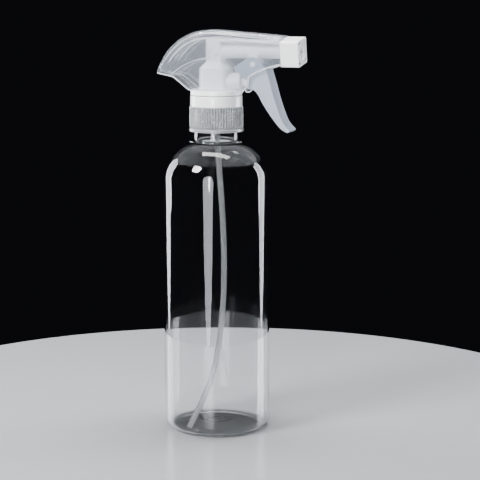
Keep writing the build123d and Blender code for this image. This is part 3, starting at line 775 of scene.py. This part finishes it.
def merge(name, *things):
    """Joins meshes that share a material into the first one's object."""
    build = bmesh.new()
    for thing in things:
        build.from_mesh(thing.data)
    mesh = bpy.data.meshes.new(name)
    build.to_mesh(mesh)
    build.free()
    first = object_from(name, mesh, things[0].data.materials[0], 40)
    for thing in things:
        bpy.data.objects.remove(thing)
    return first


# whiter, less clear plastic for lines inside the walls: painted highlight of bright edges, folds and rims
edge_highlight_pp = milky("edge_highlight_pp", (0.97, 0.98, 0.99), 0.30, 0.2, 0.5, 260)
bead_y = 7.6 * mm
bead_r = 0.36 * mm
bead_round = 1.2 * mm
rails = [(2.0, 0.22), (4.6, 0.34)]
rail_y = 6.9 * mm
tail_rib_y = 6.95 * mm
tail_rib_r = 0.16 * mm
tail_rib_steps = 24
trims = []
for side in (-1, 1):
    edge = [in_side_view(x, z + 0.3, side * bead_y) for x, z in shroud_under]
    edge[0] = in_side_view(-34.4, 9.7, side * bead_y)
    trims.append(sweep("edge_bead", rounded(edge, bead_round), round_section(bead_r, 12), edge_highlight_pp))
    for depth, rail_r in rails:
        rail = inset_path(shroud_top, depth, side * rail_y, 0.12, 0.995)
        trims.append(sweep("rail", rail, round_section(rail_r * mm, 10), edge_highlight_pp))
    arch = []
    for n in range(tail_rib_steps + 1):
        t = n / tail_rib_steps
        height = 8.6 + 10.5 * math.sin(t * math.pi / 2) ** 0.8
        arch.append(in_side_view(-26 + 25 * t, height, side * tail_rib_y))
    trims.append(sweep("tail_rib", arch, round_section(tail_rib_r, 8), edge_highlight_pp))
shroud_highlight_lines = merge("shroud_edge_highlights", *trims)
for piece in (shroud, shroud_highlight_lines):
    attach(piece, "head")
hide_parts("shroud")

# ---- Trigger ----
# Injection-moulded polypropylene lever of U section, open behind: two thin cheeks with a raised rim
# round them, a smooth finger face, and a pad between the cheeks that pushes the piston. A whiter line
# sunk in each cheek along its rim is a painted highlight of the bright rim.
trigger_half = 5.8 * mm
trigger_inner = 4.7 * mm
trigger_front = [(33.4, 12.6), (35.6, 5.6), (38.9, -5.6), (43.2, -16.4), (47.9, -22.1)]
trigger_back = [(46.4, -23.3), (42.2, -20.8), (37.3, -15.2), (31.7, -7.4), (28.1, -1.2), (25.2, 1.4)]
trigger_arm = [(22, 1.4), (21.4, 6.4), (14.2, 12.2), (13.6, 14.2), (20.6, 18.6)]
trigger_crown = [(20.6, 18.6), (25.6, 19.9), (29.6, 17.8)]
trigger_hollow = [(32.0, 12.0), (34.2, 5.2), (37.5, -5.9), (41.8, -16.8), (45.4, -21.6)]
hollow_reach = [(40, -30), (8, -4), (8, 26), (31, 26)]
pivot = (25.0, 15.8)
pin_hole_r = 1.65
pad_outline = [(22.6, 1.4), (24.0, 1.4), (24.0, 9.3), (22.6, 9.3)]
pad_half = 5.0 * mm
recess_deep = 0.28 * mm
recess_inset = 0.95
rim_inset = 0.42
rim_y = 5.45 * mm
rim_r = 0.33 * mm


def between(p, q, r, s, t):
    """One coordinate of a smooth line past p, q, r and s, a share t of the way from q to r."""
    bend = 2 * p - 5 * q + 4 * r - s
    sway = 3 * q - p - 3 * r + s
    return 0.5 * (2 * q + (r - p) * t + bend * t**2 + sway * t**3)


def through(points, steps):
    """A smooth line through the points."""
    ends = [(2 * points[0][0] - points[1][0], 2 * points[0][1] - points[1][1])]
    ends += points
    ends += [(2 * points[-1][0] - points[-2][0], 2 * points[-1][1] - points[-2][1])]
    line = []
    for a, b, c, d in zip(ends, ends[1:], ends[2:], ends[3:]):
        for step in range(steps):
            t = step / steps
            line.append(tuple(between(*four, t) for four in zip(a, b, c, d)))
    return line + [points[-1]]


def off_run(p, a, b):
    """How far point p is from the straight run from a to b."""
    ab = (b[0] - a[0], b[1] - a[1])
    share = ((p[0] - a[0]) * ab[0] + (p[1] - a[1]) * ab[1]) / max(ab[0] ** 2 + ab[1] ** 2, 1e-12)
    share = max(0.0, min(1.0, share))
    return math.hypot(p[0] - a[0] - share * ab[0], p[1] - a[1] - share * ab[1])


def inset_loop(loop, distance):
    """A closed loop of (x, z) moved inwards by distance."""
    area = sum(a[0] * b[1] - b[0] * a[1] for a, b in zip(loop, loop[1:] + loop[:1]))
    sign = 1 if area > 0 else -1
    moved = []
    for before, here, after in zip(loop[-1:] + loop[:-1], loop, loop[1:] + loop[:1]):
        one = Vector((here[0] - before[0], here[1] - before[1])).normalized()
        two = Vector((after[0] - here[0], after[1] - here[1])).normalized()
        way = (one + two).normalized()
        square = Vector((-way.y, way.x)) * sign
        stretch = 1 / max(0.5, square.dot(Vector((-one.y, one.x)) * sign))
        moved.append((here[0] + square.x * distance * stretch, here[1] + square.y * distance * stretch))
    runs = list(zip(loop, loop[1:] + loop[:1]))
    return [p for p in moved if min(off_run(p, a, b) for a, b in runs) > 0.97 * distance]


def prism(name, loop, low, high, place, material):
    """A closed solid: the loop at low and at high, put in space by place(u, v, w)."""
    build = bmesh.new()
    near = [build.verts.new(place(u, v, low)) for u, v in loop]
    far = [build.verts.new(place(u, v, high)) for u, v in loop]
    build.faces.new(near)
    build.faces.new(list(reversed(far)))
    for n in range(len(loop)):
        m = (n + 1) % len(loop)
        build.faces.new((near[n], far[n], far[m], near[m]))
    return object_of(build, name, material, 30)


def carve(base, cutters, operation="DIFFERENCE"):
    """Takes the cutters off the base, or adds them to it, and leaves one clean mesh."""
    for cutter in cutters:
        step = base.modifiers.new("carve", "BOOLEAN")
        step.operation = operation
        step.solver = "EXACT"
        step.object = cutter
    bpy.context.view_layer.update()
    finished = base.evaluated_get(bpy.context.evaluated_depsgraph_get())
    settled = bpy.data.meshes.new_from_object(finished)
    base.modifiers.clear()
    base.data = settled
    for cutter in cutters:
        bpy.data.objects.remove(cutter)
    return base


def ease(thing, width, angle=30, segments=3):
    """Rounds the edges that are sharper than angle, and keeps the flats flat."""
    bevel = thing.modifiers.new("eased_edges", "BEVEL")
    bevel.limit_method = "ANGLE"
    bevel.angle_limit = math.radians(angle)
    bevel.width = width
    bevel.segments = segments
    bevel.use_clamp_overlap = True
    keep = thing.modifiers.new("flat_faces", "WEIGHTED_NORMAL")
    keep.keep_sharp = False
    keep.weight = 90


trigger_outline = through(trigger_front, 10) + through(trigger_back, 8)[:-1] + [trigger_back[-1]]
trigger_outline += trigger_arm[:-1]
crown_centre = circle_through(*trigger_crown)
crown_r = math.dist(crown_centre, trigger_crown[0])
crown_from = bearing(crown_centre, trigger_crown[0])
crown_to = bearing(crown_centre, trigger_crown[2])
trigger_outline += arc(crown_centre, crown_r, crown_from, crown_to, 12)
trigger_pp = milky("trigger_pp", (0.50, 0.55, 0.64), 0.50, 0.30, 0.30, 60, 0.0001)
trigger = prism("trigger_moulded", trigger_outline, -trigger_half, trigger_half, in_side_view, trigger_pp)
hollow_loop = through(trigger_hollow, 10) + hollow_reach
pin_hole = arc(pivot, pin_hole_r, 0, 345, 23)
cutters = [
    prism("hollow", hollow_loop, -trigger_inner, trigger_inner, in_side_view, trigger_pp),
    prism("pin_hole", pin_hole, -2 * trigger_half, 2 * trigger_half, in_side_view, trigger_pp),
]
grip_loop = inset_loop(trigger_outline, recess_inset)
for side in (-1, 1):
    low, high = sorted((side * (trigger_half - recess_deep), side * (trigger_half + 1 * mm)))
    cutters.append(prism("cheek_recess", grip_loop, low, high, in_side_view, trigger_pp))
carve(trigger, cutters)
pad = prism("pad", pad_outline, -pad_half, pad_half, in_side_view, trigger_pp)
carve(trigger, [pad], "UNION")
ease(trigger, 0.22 * mm, 35, 2)
# whiter lines inside the cheeks along their rims: painted highlight of the bright rim
rim_loop = inset_loop(through(trigger_front, 10) + through(trigger_back, 8), rim_inset)
rim_highlights = []
for side in (-1, 1):
    rim = [in_side_view(x, z, side * rim_y) for x, z in rim_loop[:-2]]
    rim_highlights.append(sweep("rim", rounded(rim, 0.8 * mm), round_section(rim_r, 10), edge_highlight_pp))
trigger_rim_highlights = merge("trigger_rim_highlights", *rim_highlights)
for piece in (trigger, trigger_rim_highlights):
    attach(piece, "trigger")
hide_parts("trigger")

# ---- Nozzle cap ----
# Square polypropylene cap that snaps over the barrel's nose and turns to shut the spray off. Its
# front is cored out at the four corners round a thick round seat for the orifice insert.
cap_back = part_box("nozzle_cap")[0].x
cap_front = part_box("nozzle_cap")[1].x
cap_axis_z = deck_z + 23.1 * mm
cap_roll = math.radians(10)
cap_half = 7.5
cap_wall = 1.1
cap_round = 0.9
pocket_deep = 2.4 * mm
seat_r = 5.8
seat_deep = 2.8 * mm
diaphragm = cap_front - pocket_deep - 1.5 * mm
core_half = cap_half - cap_wall
core_round = 0.4
seat_wall_r = core_half + 0.4
sleeve_r = 4.95
sleeve_bore_r = 3.65
spray_hole_r = 0.8
ahead_of_cap = cap_front + 5 * mm
nozzle_pp = milky("nozzle_pp", (0.975, 0.98, 0.98), 0.20, 0.22, 0.5, 500)


def across_cap(u, v, x):
    """A point of the cap: u and v in millimetres across its face, x in metres along the barrel."""
    return Vector((
        x,
        (u * math.cos(cap_roll) - v * math.sin(cap_roll)) * mm,
        cap_axis_z + (u * math.sin(cap_roll) + v * math.cos(cap_roll)) * mm,
    ))


def round_square(half, radius, steps=5):
    loop = []
    for n, (cx, cy) in enumerate([(1, 1), (-1, 1), (-1, -1), (1, -1)]):
        loop += arc((cx * (half - radius), cy * (half - radius)), radius, 90 * n, 90 * n + 90, steps)
    return loop


def square_piece(name, half, radius, low, high):
    return prism(name, round_square(half, radius), low, high, across_cap, nozzle_pp)


def round_piece(name, radius, low, high, count):
    circle = arc((0, 0), radius, 0, 360 - 360 / (count + 1), count)
    return prism(name, circle, low, high, across_cap, nozzle_pp)


cap = square_piece("cap_moulded", cap_half, cap_round, cap_back, cap_front)
core = square_piece("core", core_half, core_round, cap_back - 5 * mm, diaphragm)
seat = round_piece("seat", seat_r, cap_front - seat_deep, ahead_of_cap, 119)
hole = round_piece("hole", spray_hole_r, cap_front - 10 * mm, cap_front, 23)
pockets = square_piece("pockets", core_half, core_round, cap_front - pocket_deep, ahead_of_cap)
seat_wall = round_piece("seat_wall", seat_wall_r, cap_front - 9 * mm, cap_front + 6 * mm, 119)
carve(pockets, [seat_wall])
carve(cap, [core, seat, hole, pockets])
sleeve = round_piece("sleeve", sleeve_r, cap_back + 0.5 * mm, diaphragm + 0.3 * mm, 59)
sleeve_bore = round_piece("sleeve_bore", sleeve_bore_r, cap_back, diaphragm + 0.1 * mm, 59)
carve(sleeve, [sleeve_bore])
carve(cap, [sleeve], "UNION")
ease(cap, 0.35 * mm, 40, 3)
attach(cap, "nozzle")
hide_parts("nozzle_cap")

# ---- Orifice insert ----
# Small white disc pressed into the cap's seat, dished towards the spray hole, with a raised ring
# that keeps fingers off the hole.
insert_profile = [(0.3, -2.8), (5.5, -2.8), (5.8, -2.5), (5.8, -0.35), (5.65, -0.12), (5.4, 0.0), (4.6, 0.0)]
insert_profile += [(4.35, -0.12), (4.2, -0.45), (3.9, -0.6), (2.9, -0.6), (2.7, -0.5), (2.6, -0.25)]
insert_profile += [(2.4, -0.1), (1.9, -0.1), (1.65, -0.25), (1.4, -0.6), (0.55, -1.25), (0.3, -1.35)]
insert_around = 96
build = bmesh.new()
rings = []
for r, depth in insert_profile:
    ring = []
    for n in range(insert_around):
        turn = 2 * math.pi * n / insert_around
        spot = across_cap(r * math.cos(turn), r * math.sin(turn), cap_front + depth * mm)
        ring.append(build.verts.new(spot))
    rings.append(ring)
for low, high in zip(rings, rings[1:] + rings[:1]):
    skin(build, low, high)
insert = object_of(build, "insert_moulded", nozzle_pp, 35)
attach(insert, "nozzle")
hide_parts("orifice_insert")
